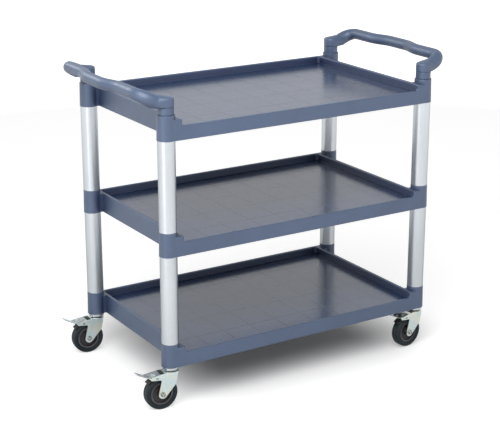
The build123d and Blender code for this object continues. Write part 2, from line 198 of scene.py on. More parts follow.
class TrolleyHandle(bpy.types.PropertyGroup):
    """Sizes of the push handles. Heights are over the top tray's collars."""

    bar_radius: length("Bar", "Radius of the bar", 0.0162)
    arm_radius: length("Arm", "Radius of an arm where it meets its head", 0.0195)
    bar_height: length("Bar height", "Height of the bar's middle line", 0.0567)
    bar_reach: length("Bar reach", "How far the bar stands out from the posts", 0.0710)
    bar_bow: length("Bow", "How far the middle of the bar swings out", 0.0168)
    bow_length: length("Bow length", "Half the length of the bow", 0.115)
    bow_flat: share("Bow flat", "Share of the bow that is flat in the middle", 0.30)
    elbow_radius: length("Elbow", "Radius of the bend between bar and arm", 0.038)
    arm_inset: length("Arm inset", "How far an arm lies inside the middle of its post", 0.005)
    arm_tilt: angle("Arm tilt", "Fall of an arm towards its post", 27.0)
    head_radius: length("Head", "Radius of the head on a post", 0.022)
    head_bottom: length("Head bottom", "Height of the underside of a head", 0.0197)
    head_top: length("Head top", "Height of the top of a head", 0.0462)
    neck_radius: length("Neck", "Radius of the neck under a head", 0.0216)
    spigot_radius: length("Spigot", "Radius of the spigot inside a collar", 0.017)
    spigot_depth: length("Spigot depth", "Depth of the spigot inside a collar", 0.020)
    skin: length("Skin", "Size of the facets that blend arm and head", 0.0018)


class TrolleyWheels(bpy.types.PropertyGroup):
    """Sizes of the turned and hexagonal pieces of the casters."""

    tyre_width: length("Tyre width", "Width of a tyre", 0.028)
    tyre_shoulder: length("Tyre shoulder", "Rounding of a tyre's shoulders", 0.0045)
    tread_groove: length("Tread groove", "Depth of the two grooves in a tread", 0.0007)
    rim_radius: length("Rim radius", "Outside of a wheel centre", 0.033)
    rim_width: length("Rim width", "Width of a wheel centre's rim", 0.022)
    rim_depth: length("Rim depth", "Thickness of a wheel centre's rim", 0.0045)
    web: length("Web", "Thickness of a wheel centre's web", 0.007)
    hub_radius: length("Hub radius", "Outside of a wheel centre's hub", 0.0115)
    hub_length: length("Hub length", "Length of a wheel centre's hub", 0.031)
    hub_bore: length("Hub bore", "Radius of the hole through a hub", 0.00605)
    fork_width: length("Fork width", "Distance over the legs of a fork", 0.037)
    axle_radius: length("Axle radius", "Radius of an axle bolt", 0.004)
    hexagon: length("Hexagon", "Width over the flats of a bolt head or nut", 0.013)
    hexagon_height: length("Hexagon height", "Height of a bolt head or nut", 0.0045)
    bolt_end: length("Bolt end", "How far an axle bolt stands out of its nut", 0.0012)
    pin_radius: length("Pin radius", "Radius of a brake pin", 0.0025)
    pin_head: length("Pin head", "Radius of a brake pin's riveted heads", 0.00375)
    pin_head_height: length("Pin head height", "Height of a brake pin's riveted heads", 0.001)


class TrolleyStage(bpy.types.PropertyGroup):
    """Camera, lamps, sky and floor."""

    camera_place: FloatVectorProperty(
        name="Camera",
        description="Where the camera stands",
        default=(-2.064, -3.282, 1.656),
        size=3,
        subtype="XYZ",
        unit="LENGTH",
    )
    camera_azimuth: angle("Azimuth", "Turn of the camera about the upright", -31.89)
    camera_elevation: angle("Elevation", "How far the camera looks down", 18.08)
    focal_length: FloatProperty(
        name="Focal length", description="Lens, in millimetres on a 36 mm sensor", default=98.9, min=10.0
    )
    key_power: power("Key lamp", "Power of the lamp over the front left", 55.0)
    strip_power: power("Strip lamp", "Power of the strip on the left that only shows in gloss", 3.6)
    back_power: power("Back lamp", "Power of the lamp behind that only shows in gloss", 12.0)
    sky_strength: share("Sky", "Strength of the even light all round", 0.42)
    mirror_level: share("Mirrored studio", "How white the studio shows in gloss", 0.80)
    ceiling_level: share("Mirrored ceiling", "How white the studio shows in gloss overhead", 0.30)
    # Painted shadow and light on the floor: its glow to white is held back inside a rectangle round the trolley
    # and lifted a little in that rectangle's core
    floor_glow: share("Floor glow", "How much the floor is lifted to white beyond the shadow", 0.62)
    shadow_core: share("Shadow core", "How much the floor is lifted in the core of the shadow", 0.03)
    shadow_middle: floor_pair("Shadow", "Middle of the shadow on the floor", (0.06, 0.10))
    shadow_size: floor_pair("Shadow size", "Length and depth of the shadow's core", (0.42, 0.34))
    shadow_fade: length("Shadow fade", "How far the floor takes to fade to white", 0.38)


# Node helpers


def new_material(name):
    """A material with one Principled shader, and that shader."""
    material = bpy.data.materials.new(name)
    material.use_nodes = True
    return material, material.node_tree.nodes["Principled BSDF"]


def is_socket(value):
    """True for a node's socket, and not for plain numbers."""
    return isinstance(value, bpy.types.NodeSocket)


def add_node(tree, kind, inputs=(), **settings):
    """A shader node with its settings, and its inputs either linked or set."""
    node = tree.nodes.new(kind)
    for key, value in settings.items():
        setattr(node, key, value)
    for key, value in dict(inputs).items():
        if is_socket(value):
            tree.links.new(value, node.inputs[key])
        else:
            node.inputs[key].default_value = value
    return node


def link(tree, shader, **sockets):
    """Links sockets to the shader's inputs of those names."""
    for name, socket in sockets.items():
        tree.links.new(socket, shader.inputs[name.replace("_", " ")])


def sums(tree, operation, first, second=0.0):
    """One arithmetic step, as its output socket."""
    return add_node(tree, "ShaderNodeMath", {0: first, 1: second}, operation=operation).outputs[0]


def mixed(tree, share_of_second, first, second):
    """A number between two others."""
    step = sums(tree, "SUBTRACT", second, first)
    return sums(tree, "ADD", first, sums(tree, "MULTIPLY", share_of_second, step))


def vectors(tree, operation, first, second=(0.0, 0.0, 0.0), output="Vector"):
    """One step of vector arithmetic, as its output socket."""
    return add_node(tree, "ShaderNodeVectorMath", {0: first, 1: second}, operation=operation).outputs[output]


def ramp(tree, value, low, high, start=0.0, end=1.0):
    """A smooth step of a value from start at low to end at high."""
    node = add_node(
        tree,
        "ShaderNodeMapRange",
        {"Value": value, "From Min": low, "From Max": high, "To Min": start, "To Max": end},
        interpolation_type="SMOOTHSTEP",
    )
    return node.outputs["Result"]


def place_on(tree):
    """Coordinates of the piece itself."""
    return add_node(tree, "ShaderNodeTexCoord").outputs["Object"]


def parts_of(tree, vector):
    """The three parts of a vector."""
    return add_node(tree, "ShaderNodeSeparateXYZ", {0: vector}).outputs


def noise(tree, place, size, detail=4.0, roughness=0.55):
    """Noise whose features are about that size in metres."""
    node = add_node(
        tree,
        "ShaderNodeTexNoise",
        {"Vector": place, "Scale": 1.0 / size, "Detail": detail, "Roughness": roughness},
    )
    return node.outputs["Fac"]


def wander(tree, texture, start, end):
    """A number that wanders from start to end with noise, most of which lies between two levels."""
    return ramp(tree, texture, NOISE_LOW, NOISE_HIGH, start, end)


def stretched(tree, place, scale):
    """Coordinates stretched along the axes."""
    return add_node(tree, "ShaderNodeMapping", {"Vector": place, "Scale": scale}).outputs["Vector"]


def blend(tree, share_of_second, first, second):
    """A mix of two colours or normals, each a socket or three numbers."""
    node = add_node(tree, "ShaderNodeMix", {"Factor": share_of_second}, data_type="RGBA")
    sockets = {socket.identifier: socket for socket in (*node.inputs, *node.outputs)}
    for name, value in (("A_Color", first), ("B_Color", second)):
        if is_socket(value):
            tree.links.new(value, sockets[name])
        else:
            sockets[name].default_value = (*value, 1.0)
    return sockets["Result_Color"]


def shade(tree, base, level):
    """A colour times a level."""
    inputs = {0: base if is_socket(base) else tuple(base), "Scale": level}
    return add_node(tree, "ShaderNodeVectorMath", inputs, operation="SCALE").outputs["Vector"]


def surface_normal(tree):
    """The surface's own normal."""
    return add_node(tree, "ShaderNodeNewGeometry").outputs["Normal"]


def bump(tree, height, distance, normal=None):
    """A surface normal from a height, over another normal if one is given."""
    inputs = {"Height": height, "Distance": distance, "Strength": 1.0}
    if normal is not None:
        inputs["Normal"] = normal
    return add_node(tree, "ShaderNodeBump", inputs).outputs["Normal"]


def soft_edges(tree, radius):
    """A normal that is rounded at sharp edges, and how near an edge is, from 0 to 1."""
    rounded = add_node(tree, "ShaderNodeBevel", {"Radius": radius}, samples=4).outputs["Normal"]
    turn = vectors(tree, "DOT_PRODUCT", rounded, surface_normal(tree), output="Value")
    hardly_turned, well_turned = 0.998, 0.93
    return rounded, ramp(tree, turn, hardly_turned, well_turned)


def squared(tree, normal):
    """A normal made upright or level, whichever is nearer, so that the rounded foot of a wall looks crisp."""
    wall = vectors(tree, "NORMALIZE", vectors(tree, "MULTIPLY", normal, (1.0, 1.0, 0.0)))
    steepest_deck = 0.6
    upward = sums(tree, "GREATER_THAN", parts_of(tree, normal)[2], steepest_deck)
    return blend(tree, upward, wall, (0.0, 0.0, 1.0))


def from_axle(tree, place):
    """Distance of a turned piece's surface from its axle."""
    return vectors(tree, "LENGTH", vectors(tree, "MULTIPLY", place, (1.0, 0.0, 1.0)), output="Value")


# Finishes


def rib_lines(tree, x, y, finish):
    """Sink lines on a deck over the ribs beneath it, from 0 to 1."""
    lines = []
    for along, spacing in ((x, finish.rib_spacing_x), (y, finish.rib_spacing_y)):
        turn = sums(tree, "FRACT", sums(tree, "DIVIDE", along, spacing))
        gap = sums(tree, "MULTIPLY", sums(tree, "ABSOLUTE", sums(tree, "SUBTRACT", turn, 0.5)), spacing)
        lines.append(ramp(tree, gap, finish.rib_line, 0.0))
    return sums(tree, "MAXIMUM", *lines)


def deck_masks(tree, place, plain):
    """Where a tray is its flat deck, and where it is the deck or the rounded foot of a wall."""
    over_base = sums(tree, "SUBTRACT", parts_of(tree, place)[2], TRAY_BASE)
    level = sums(tree, "FLOORED_MODULO", over_base, TRAY_PITCH)
    wall_start, foot_end, skin_start, skin_end = 0.0045, 0.003, 0.001, 0.002
    low = ramp(tree, level, DECK_LEVEL + wall_start, DECK_LEVEL + foot_end)
    deck = sums(tree, "MULTIPLY", ramp(tree, parts_of(tree, plain)[2], 0.80, 0.98), low)
    over = ramp(tree, level, DECK_LEVEL - skin_end, DECK_LEVEL - skin_start)
    return deck, sums(tree, "MULTIPLY", low, over)


def deck_layers(tree, place, fleck, colours, finish):
    """Colour, roughness and height of a deck: slow waves, fine hairlines and sink lines over the ribs."""
    wave_size, hair_size, wave_height, line_depth = 0.05, 0.0015, 0.00020, 0.00012
    x, y, _ = parts_of(tree, place)
    wave = noise(tree, stretched(tree, place, (0.5, 1.0, 1.0)), wave_size, detail=2.0)
    hair = noise(tree, stretched(tree, place, (0.05, 1.0, 1.0)), hair_size, detail=3.0)
    patchy = ramp(tree, fleck, 0.3, 0.6, 0.35, 1.0)
    lines = sums(tree, "MULTIPLY", rib_lines(tree, x, y, finish), patchy)
    skin = shade(tree, colours.deck, wander(tree, wave, 0.94, 1.06))
    skin = shade(tree, skin, ramp(tree, lines, 0.0, 1.0, 1.0, 0.74))
    rough = wander(tree, hair, finish.deck_roughness - 0.02, finish.deck_roughness + 0.04)
    rough = sums(tree, "ADD", rough, sums(tree, "MULTIPLY", lines, 0.06))
    waves = sums(tree, "ADD", wave, sums(tree, "MULTIPLY", hair, 0.03))
    height = sums(tree, "MULTIPLY", waves, wave_height)
    height = sums(tree, "SUBTRACT", height, sums(tree, "MULTIPLY", lines, line_depth))
    return skin, rough, height


def moulded_plastic(name, colours, finish, with_deck):
    """Slate-blue moulded plastic: grained walls with rubbed edges, on trays a smoother, darker deck, and painted
    shade in deep navy wherever ambient occlusion finds a hollow.
    """
    material, shader = new_material(name)
    tree = material.node_tree
    place, plain = place_on(tree), surface_normal(tree)
    cloud_size, fleck_size, grain_height = 0.11, 0.006, 0.00009
    cloud = noise(tree, place, cloud_size, detail=5.0)
    fleck = noise(tree, place, fleck_size, detail=5.0, roughness=0.7)
    grain = noise(tree, place, finish.grain, detail=2.0)
    rounded, edge = soft_edges(tree, finish.edge)
    # Ambient occlusion, which paints shade into hollows and keeps the rubbed edges to open edges
    reach = {"Distance": finish.hollow_reach}
    shaded_hollow = add_node(tree, "ShaderNodeAmbientOcclusion", reach, samples=4).outputs["AO"]
    open_edge = ramp(tree, shaded_hollow, 0.55, 0.8)
    normal = blend(tree, open_edge, plain, rounded)
    skin = shade(tree, colours.tray, ramp(tree, cloud, 0.25, 0.75, 0.92, 1.08))
    rub = sums(tree, "MULTIPLY", edge, ramp(tree, fleck, 0.35, 0.7, 0.12, 0.65))
    skin = blend(tree, sums(tree, "MULTIPLY", rub, open_edge), skin, colours.scuff)
    rough = wander(tree, fleck, finish.wall_roughness - 0.05, finish.wall_roughness + 0.07)
    height = sums(tree, "MULTIPLY", grain, grain_height)
    if with_deck:
        deck, foot = deck_masks(tree, place, plain)
        normal = blend(tree, foot, normal, squared(tree, plain))
        deck_skin, deck_rough, deck_height = deck_layers(tree, place, fleck, colours, finish)
        skin = blend(tree, deck, skin, deck_skin)
        rough = mixed(tree, deck, rough, deck_rough)
        height = mixed(tree, deck, height, deck_height)
    # Painted shade: shut-in places are mixed towards deep navy
    skin = blend(tree, ramp(tree, shaded_hollow, 0.45, 1.0), colours.shaded_hollow, skin)
    shader.inputs["Specular IOR Level"].default_value = finish.plastic_gloss
    shader.inputs["Specular Tint"].default_value = (*colours.plastic_sheen, 1.0)
    link(tree, shader, Base_Color=skin, Roughness=rough, Normal=bump(tree, height, 1.0, normal))
    return material


def drawn_aluminium(colours, finish):
    """Satin drawn aluminium with fine lines along the tube."""
    material, shader = new_material("drawn_aluminium")
    tree = material.node_tree
    place = place_on(tree)
    line_width, line_height, cloud_size = 0.0008, 0.00002, 0.05
    lines = noise(tree, stretched(tree, place, (1.0, 1.0, 0.01)), line_width, detail=3.0)
    cloud = noise(tree, stretched(tree, place, (1.0, 1.0, 0.25)), cloud_size)
    shader.inputs["Metallic"].default_value = 1.0
    shader.inputs["Specular Tint"].default_value = (*colours.tube_edge, 1.0)
    skin = shade(tree, colours.tube, wander(tree, cloud, 0.96, 1.03))
    rough = sums(tree, "ADD", finish.tube_roughness, sums(tree, "MULTIPLY", lines, 0.10))
    link(tree, shader, Base_Color=skin, Roughness=rough, Normal=bump(tree, lines, line_height))
    return material


def plated_steel(name, base, tint, roughness, cloud_size):
    """Plated sheet steel: faint clouds of another tint, fine scratches and worn edges."""
    material, shader = new_material(name)
    tree = material.node_tree
    place = place_on(tree)
    cloud = noise(tree, place, cloud_size, detail=4.0)
    spangle = noise(tree, place, cloud_size * 0.12, detail=3.0)
    scratch_width, scratch_height, edge_radius, bare = 0.0006, 0.00002, 0.0006, (0.93, 0.94, 0.94)
    scratches = noise(tree, stretched(tree, place, (0.05, 1.0, 1.0)), scratch_width, detail=2.0)
    rounded, edge = soft_edges(tree, edge_radius)
    shader.inputs["Metallic"].default_value = 1.0
    skin = blend(tree, ramp(tree, cloud, 0.42, 0.66), base, tint)
    skin = shade(tree, skin, ramp(tree, spangle, 0.25, 0.75, 0.90, 1.06))
    skin = blend(tree, sums(tree, "MULTIPLY", edge, 0.5), skin, bare)
    wear = sums(tree, "ADD", spangle, sums(tree, "MULTIPLY", scratches, 0.5))
    rough = ramp(tree, wear, 0.4, 1.1, roughness - 0.08, roughness + 0.10)
    normal = bump(tree, scratches, scratch_height, rounded)
    link(tree, shader, Base_Color=skin, Roughness=rough, Normal=normal)
    return material


def rubber(name, base, dust):
    """Matt rubber or plain plastic with a fine skin, a grey bloom and paler edges."""
    material, shader = new_material(name)
    tree = material.node_tree
    place = place_on(tree)
    grain_size, grain_height, cloud_size, edge_radius = 0.0007, 0.00006, 0.014, 0.0008
    grain = noise(tree, place, grain_size, detail=3.0)
    cloud = noise(tree, place, cloud_size, detail=5.0, roughness=0.65)
    rounded, edge = soft_edges(tree, edge_radius)
    bloom = sums(tree, "MAXIMUM", ramp(tree, cloud, 0.45, 0.8, 0.0, 0.45), sums(tree, "MULTIPLY", edge, 0.4))
    skin = blend(tree, bloom, base, dust)
    rough = wander(tree, cloud, 0.50, 0.68)
    link(tree, shader, Base_Color=skin, Roughness=rough, Normal=bump(tree, grain, grain_height, rounded))
    return material


def tyre_rubber(colours, finish, wheels):
    """Black tyre rubber with turned lines on its sides and dust in its tread."""
    material, shader = new_material("tyre_rubber")
    tree = material.node_tree
    place = place_on(tree)
    radius = from_axle(tree, place)
    grain_size, cloud_size, line_pitch, skin_height = 0.0007, 0.016, 0.0011, 0.00007
    grain = noise(tree, place, grain_size, detail=3.0)
    cloud = noise(tree, place, cloud_size, detail=6.0, roughness=0.65)
    tread_foot, tread_top = WHEEL_RADIUS - 0.0015, WHEEL_RADIUS - 0.0003
    tread = ramp(tree, radius, tread_foot, tread_top)
    shoulder = ramp(tree, radius, tread_foot - wheels.tyre_shoulder, tread_foot)
    bloom = ramp(tree, cloud, 0.35, 0.75, 0.02, 0.30)
    bloom = sums(tree, "ADD", bloom, sums(tree, "MULTIPLY", shoulder, 0.10))
    dust = sums(tree, "MULTIPLY", tread, ramp(tree, cloud, 0.4, 0.65, 0.0, 0.35))
    skin = blend(tree, sums(tree, "ADD", bloom, dust), colours.tyre, colours.tyre_dust)
    shader.inputs["Specular IOR Level"].default_value = finish.tyre_gloss
    line = sums(tree, "SINE", sums(tree, "MULTIPLY", radius, 2.0 * math.pi / line_pitch))
    line = sums(tree, "MULTIPLY", sums(tree, "MULTIPLY", line, 0.25), sums(tree, "SUBTRACT", 1.0, tread))
    height = sums(tree, "ADD", sums(tree, "MULTIPLY", grain, 0.6), line)
    rough = wander(tree, cloud, 0.42, 0.62)
    link(tree, shader, Base_Color=skin, Roughness=rough, Normal=bump(tree, height, skin_height))
    return material


def wheel_plastic(colours, wheels):
    """Dark wheel centre with a greyer ring next to the tyre."""
    material, shader = new_material("wheel_plastic")
    tree = material.node_tree
    place = place_on(tree)
    cloud_size, grain_size, grain_height = 0.012, 0.0006, 0.00004
    cloud = noise(tree, place, cloud_size, detail=5.0)
    grain = noise(tree, place, grain_size, detail=2.0)
    inside = wheels.rim_radius - wheels.rim_depth
    ring_start, ring_end = inside - 0.0006, inside + 0.0008
    ring = ramp(tree, from_axle(tree, place), ring_start, ring_end)
    skin = blend(tree, ring, colours.wheel, colours.wheel_rim)
    skin = shade(tree, skin, wander(tree, cloud, 0.82, 1.18))
    rough = wander(tree, cloud, 0.38, 0.52)
    link(tree, shader, Base_Color=skin, Roughness=rough, Normal=bump(tree, grain, grain_height))
    return material


# Meshes of turned and hexagonal pieces


def add_rings(shape, rings, closed):
    """Faces over rings of points. A closed skin joins its last ring to its first, and another is capped."""
    loops = [[shape.verts.new(point) for point in ring] for ring in rings]
    pairs = list(zip(loops, loops[1:]))
    if closed:
        pairs.append((loops[-1], loops[0]))
    else:
        shape.faces.new(loops[0])
        shape.faces.new(loops[-1])
    for first, second in pairs:
        for i, corner in enumerate(first):
            shape.faces.new((first[i - 1], corner, second[i], second[i - 1]))


def finished(name, shape):
    """The mesh of a shape, smooth but for its sharp edges."""
    bmesh.ops.recalc_face_normals(shape, faces=shape.faces)
    mesh = bpy.data.meshes.new(name)
    shape.to_mesh(mesh)
    shape.free()
    mesh.shade_smooth()
    mesh.set_sharp_from_angle(angle=CRISP_ANGLE)
    return mesh


def skin_rings(name, rings, closed):
    """A mesh over rings of points."""
    shape = bmesh.new()
    add_rings(shape, rings, closed)
    return finished(name, shape)


def turns(steps):
    """Angles round an axle."""
    return [2.0 * math.pi * i / steps for i in range(steps)]


def turned_ring(along, radius, steps):
    """A round ring at a place along the axle, which is the mesh's Y axis."""
    return [(radius * math.cos(a), along, radius * math.sin(a)) for a in turns(steps)]


def turned_rings(outline, steps):
    """Round rings at the places and radii of an outline."""
    return [turned_ring(along, radius, steps) for along, radius in outline]


def hexagon_ring(along, width, turned_off, side, steps):
    """A hexagonal ring whose corners drop towards side, where a tool has turned them off."""
    ring, side_angle, chamfer = [], math.radians(60.0), math.radians(30.0)
    for a in turns(steps):
        off = side_angle / 2 - (a % side_angle)
        radius = width / 2 / math.cos(off)
        drop = max(0.0, radius - turned_off) * math.tan(chamfer)
        ring.append((radius * math.cos(a), along + side * drop, radius * math.sin(a)))
    return ring


def arc(centre, radius, start, end, steps):
    """Points of an outline on an arc, with angles in degrees from the axle's direction."""
    angles = [math.radians(start + (end - start) * i / steps) for i in range(steps + 1)]
    return [(centre[0] + radius * math.cos(a), centre[1] + radius * math.sin(a)) for a in angles]


def both_sides(half):
    """An outline and its mirror image, as one loop."""
    return half + [(-along, radius) for along, radius in reversed(half)]


def tyre_outline(wheels):
    """Half the section of a tyre, from its foot over a bead, the side and the shoulder to the tread."""
    # Gap of the bond line under the foot, and how far the tread falls off at the shoulder
    bond, fall = 0.00005, 0.0003
    half, foot, top = wheels.tyre_width / 2, wheels.rim_radius + bond, WHEEL_RADIUS
    bulge, groove = wheels.tyre_shoulder, wheels.tread_groove
    side = [
        (half - 0.0020, foot),
        (half - 0.0012, foot + 0.0006),
        (half - 0.0008, foot + 0.0014),
        (half - 0.0010, foot + 0.0022),
        (half - 0.0017, foot + 0.0027),
        (half - 0.0015, foot + 0.0034),
        (half - 0.0004, foot + 0.0056),
        (half - 0.0001, foot + 0.0068),
        (half - 0.0005, foot + 0.0072),
        (half - 0.0004, foot + 0.0078),
    ]
    shoulder = arc((half - bulge, top - bulge - fall), bulge, start=8.0, end=84.0, steps=8)
    tread = [
        (half * 0.56, top - 0.0001),
        (half * 0.53, top - groove),
        (half * 0.45, top - groove),
        (half * 0.42, top),
        (half * 0.03, top),
        (half * 0.015, top - 0.00015),
    ]
    return side + shoulder + tread


def wheel_outline(wheels):
    """Half the section of a wheel centre, from its bore over the hub and the web to its rim."""
    hub, web, rim = wheels.hub_length / 2, wheels.web / 2, wheels.rim_width / 2
    inside, outside = wheels.rim_radius - wheels.rim_depth, wheels.rim_radius
    return [
        (hub, wheels.hub_bore),
        (hub, wheels.hub_radius - 0.0006),
        (hub - 0.0002, wheels.hub_radius - 0.0002),
        (hub - 0.0006, wheels.hub_radius),
        (web + 0.0018, wheels.hub_radius + 0.0009),
        (web + 0.0006, wheels.hub_radius + 0.0013),
        (web, wheels.hub_radius + 0.0025),
        (web, inside - 0.0028),
        (web + 0.0005, inside - 0.0014),
        (web + 0.0016, inside - 0.0008),
        (rim - 0.0012, inside),
        (rim - 0.0004, inside + 0.0003),
        (rim, inside + 0.0010),
        (rim, outside - 0.0012),
        (rim - 0.0002, outside - 0.0004),
        (rim - 0.0008, outside),
    ]


def turned_mesh(name, outline, steps, closed=True):
    """A mesh turned from an outline."""
    return skin_rings(name, turned_rings(outline, steps), closed)


def bolt_mesh(wheels):
    """An axle bolt with a dished hexagonal head, a washer face, a grooved thread and a chamfered end."""
    steps, width, radius = BOLT_FACETS, wheels.hexagon, wheels.axle_radius
    dish, washer_height, end_chamfer = 0.0004, 0.0004, 0.0006
    pitch, thread_turns, thread_depth = 0.00125, 4, 0.0005
    face, flat = wheels.fork_width / 2, width * HEXAGON_FLAT
    top, washer = face + wheels.hexagon_height, face + washer_height
    end = -face - wheels.hexagon_height - wheels.bolt_end
    dish_floor, dish_edge = flat * 0.5, flat * 0.66
    rings = turned_rings(((top - dish, dish_floor), (top, dish_edge), (top, flat)), steps)
    rings.append(hexagon_ring(top, width, flat, -1.0, steps))
    rings.append(hexagon_ring(washer, width, width, 0.0, steps))
    shank = [(washer, flat), (face, flat), (face, radius), (-face, radius)]
    crest_end, root = pitch * 0.35, pitch * 0.6
    for turn in range(thread_turns):
        crest = -face - pitch * turn
        shank.append((crest - crest_end, radius))
        shank.append((crest - root, radius - thread_depth))
    shank += [(end + end_chamfer, radius), (end, radius - end_chamfer)]
    return skin_rings("axle_bolt", rings + turned_rings(shank, steps), closed=False)


def nut_mesh(wheels):
    """A nut with the corners of both faces turned off and the outer end of its bore chamfered."""
    steps, width, flat = BOLT_FACETS, wheels.hexagon, wheels.hexagon * HEXAGON_FLAT
    clearance, chamfer_depth, chamfer_width = 0.00005, 0.0004, 0.0005
    near, bore = -wheels.fork_width / 2, wheels.axle_radius + clearance
    far = near - wheels.hexagon_height
    rings = [
        turned_ring(far + chamfer_depth, bore, steps),
        turned_ring(far, bore + chamfer_width, steps),
        turned_ring(far, flat, steps),
        hexagon_ring(far, width, flat, 1.0, steps),
        hexagon_ring(near, width, flat, -1.0, steps),
        turned_ring(near, flat, steps),
        turned_ring(near, bore, steps),
    ]
    return skin_rings("axle_nut", rings, closed=True)


def pin_mesh(wheels):
    """A brake pin with a domed head riveted over each end."""
    face, tall, head = wheels.fork_width / 2, wheels.pin_head_height, wheels.pin_head
    profile = ((1.0, 0.35), (0.93, 0.62), (0.72, 0.86), (0.4, 0.97), (0.0, 1.0))
    outline = [(face + tall * rise, head * wide) for rise, wide in profile]
    outline.append((face, wheels.pin_radius))
    outline += [(-along, radius) for along, radius in reversed(outline)]
    return turned_mesh("brake_pin", outline, PIN_FACETS, closed=False)


# Push handles


def bar_line(handle):
    """The middle line of the bar on the +X end, from one post to the other, with its radius at each point."""
    reach, high = POST.x + handle.bar_reach, HANDLE_FOOT + handle.bar_height
    half = []
    for i in range(BOW_STEPS + 1):
        flank = min(max((i / BOW_STEPS - handle.bow_flat) / (1.0 - handle.bow_flat), 0.0), 1.0)
        swing = handle.bar_bow * (1.0 + math.cos(math.pi * flank)) / 2
        half.append((Vector((reach + swing, handle.bow_length * i / BOW_STEPS, high)), handle.bar_radius))
    corner = Vector((reach, POST.y - handle.arm_inset - handle.elbow_radius, high))
    along = Vector((0.0, 1.0, 0.0))
    fall = Vector((-math.cos(handle.arm_tilt), 0.0, -math.sin(handle.arm_tilt)))
    for i in range(ELBOW_STEPS + 1):
        turn = math.pi / 2 * i / ELBOW_STEPS
        radius = handle.bar_radius + (handle.arm_radius - handle.bar_radius) * math.sin(turn) ** 2
        bend = along * math.sin(turn) + fall * (1.0 - math.cos(turn))
        half.append((corner + handle.elbow_radius * bend, radius))
    # The arm runs on straight by this share of its radius
    straight = 0.3
    half.append((half[-1][0] + fall * straight * handle.arm_radius, handle.arm_radius))
    return [(Vector((x, -y, z)), radius) for (x, y, z), radius in reversed(half[1:])] + half


def rings_along(line, steps):
    """Round rings square to a line of points and radii."""
    rings, up = [], Vector((0.0, 0.0, 1.0))
    for before, (middle, radius), after in zip(line[:1] + line, line, line[1:] + line[-1:]):
        ahead = (after[0] - before[0]).normalized()
        up = (up - ahead * up.dot(ahead)).normalized()
        aside = ahead.cross(up)
        rings.append([middle + radius * (up * math.cos(a) + aside * math.sin(a)) for a in turns(steps)])
    return rings


def level_rings(post, outline, steps):
    """Round level rings round a post, at the heights and radii of an outline."""
    x, y = post
    return [
        [Vector((x + radius * math.cos(a), y + radius * math.sin(a), height)) for a in turns(steps)]
        for height, radius in outline
    ]


def add_hull(shape, points):
    """The hull of points, as a closed skin."""
    found = bmesh.ops.convex_hull(shape, input=[shape.verts.new(point) for point in points])
    inside = [point for point in found["geom_interior"] if isinstance(point, bmesh.types.BMVert)]
    bmesh.ops.delete(shape, geom=inside, context="VERTS")


def one_skin(name, shape, facet):
    """One smooth skin over closed skins that run into each other."""
    holder = bpy.data.objects.new(name, finished(name, shape))
    bpy.context.scene.collection.objects.link(holder)
    skin = holder.modifiers.new("skin", "REMESH")
    skin.mode, skin.voxel_size = "VOXEL", facet
    ease = holder.modifiers.new("ease", "SMOOTH")
    ease.factor, ease.iterations = 0.5, 7
    mesh = bpy.data.meshes.new_from_object(holder.evaluated_get(bpy.context.evaluated_depsgraph_get()))
    bpy.data.objects.remove(holder)
    return mesh


def handle_mesh(name, handle, side):
    """A push handle: bar, arms and heads under one skin, and a neck with its spigot under each head."""
    shape = bmesh.new()
    bar = rings_along(bar_line(handle), BAR_FACETS)
    add_rings(shape, bar, closed=False)
    top, wide, low = HANDLE_FOOT + handle.head_top, handle.head_radius, HANDLE_FOOT + handle.head_bottom
    crown, crown_middle = 0.004, 0.0012
    head = (
        (low, wide),
        (top - crown, wide),
        (top - crown_middle, wide - crown_middle),
        (top, wide - crown),
    )
    posts = ((POST.x, -POST.y), (POST.x, POST.y))
    for post, arm in zip(posts, (bar[0], bar[-1])):
        rings = level_rings(post, head, HEAD_FACETS)
        add_hull(shape, arm + [point for ring in rings for point in ring])
    body = one_skin(name, shape, handle.skin)
    shape = bmesh.new()
    shape.from_mesh(body)
    bpy.data.meshes.remove(body)
    chamfer, groove, groove_end, overlap = 0.0006, 0.0008, 0.0004, 0.004
    neck = (
        (HANDLE_FOOT - handle.spigot_depth, handle.spigot_radius),
        (HANDLE_FOOT, handle.spigot_radius),
        (HANDLE_FOOT, handle.neck_radius - chamfer),
        (HANDLE_FOOT + chamfer, handle.neck_radius),
        (low - groove, handle.neck_radius),
        (low - groove_end, handle.neck_radius - groove),
        (low + overlap, handle.neck_radius - groove),
    )
    for post in posts:
        add_rings(shape, level_rings(post, neck, NECK_FACETS), closed=False)
    shape.transform(Matrix.Diagonal((side, 1.0, 1.0, 1.0)))
    return finished(name, shape)


# Placing and dressing


def at_corners(part):
    """A part's node on each of the four casters."""
    return [f"{corner}_{part}" for corner in CORNERS]


def dress(nodes, material):
    """Gives CAD nodes one material."""
    for name in nodes:
        piece = frame["nodes"][name]
        piece.data.materials.clear()
        piece.data.materials.append(material)


def stand_in(corner, part, mesh, material, body, joint):
    """Puts a mesh on a joint's axis in place of a CAD node, on the body that carries it."""
    node = f"{corner}_{part}"
    along = JOINTS[f"{corner}_wheel_roll"]["axis"]
    piece = bpy.data.objects.new(f"{node}_turned", mesh)
    turn = Matrix.Rotation(math.atan2(-along[0], along[1]), 4, "Z")
    piece.matrix_world = Matrix.Translation(JOINTS[f"{corner}_{joint}"]["pos_m"]) @ turn
    bpy.context.scene.collection.objects.link(piece)
    if not mesh.materials:
        mesh.materials.append(material)
    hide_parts(node)
    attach(piece, f"{corner}_{body}")


# Operators for the pieces


class TROLLEY_OT_trays(bpy.types.Operator):
    """Finishes the three moulded trays"""

    bl_idname = "trolley.trays"
    bl_label = "Trays"

    def execute(self, context):
        scene = context.scene
        colours, finish = scene.trolley_colours, scene.trolley_finish
        plastic = moulded_plastic("tray_plastic", colours, finish, with_deck=True)
        dress([f"{level}_tray" for level in LEVELS], plastic)
        return {"FINISHED"}


